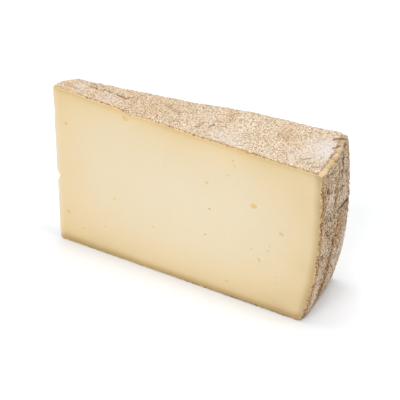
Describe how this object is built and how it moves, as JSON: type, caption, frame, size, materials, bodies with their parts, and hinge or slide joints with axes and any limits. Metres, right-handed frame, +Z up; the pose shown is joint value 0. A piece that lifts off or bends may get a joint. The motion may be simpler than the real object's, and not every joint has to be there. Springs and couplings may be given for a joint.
{
  "type": "sheep milk cheese wedge",
  "caption": "Tall wedge of hard sheep milk cheese with a mottled natural rind and small eyes, standing on its flat base.",
  "frame": {"origin": "middle of the footprint, on the surface that the wedge stands on", "axes": "+X from the tip to the rounded heel, +Z up, -Y out of the cut face that the picture shows"},
  "size_m": [0.1318, 0.0358, 0.0813],
  "materials": {
    "cheese": "satin ivory paste inside a dry, mottled, grey-beige natural rind"
  },
  "bodies": {
    "root": {"cheese": "cheese"}
  },
  "joints": []
}
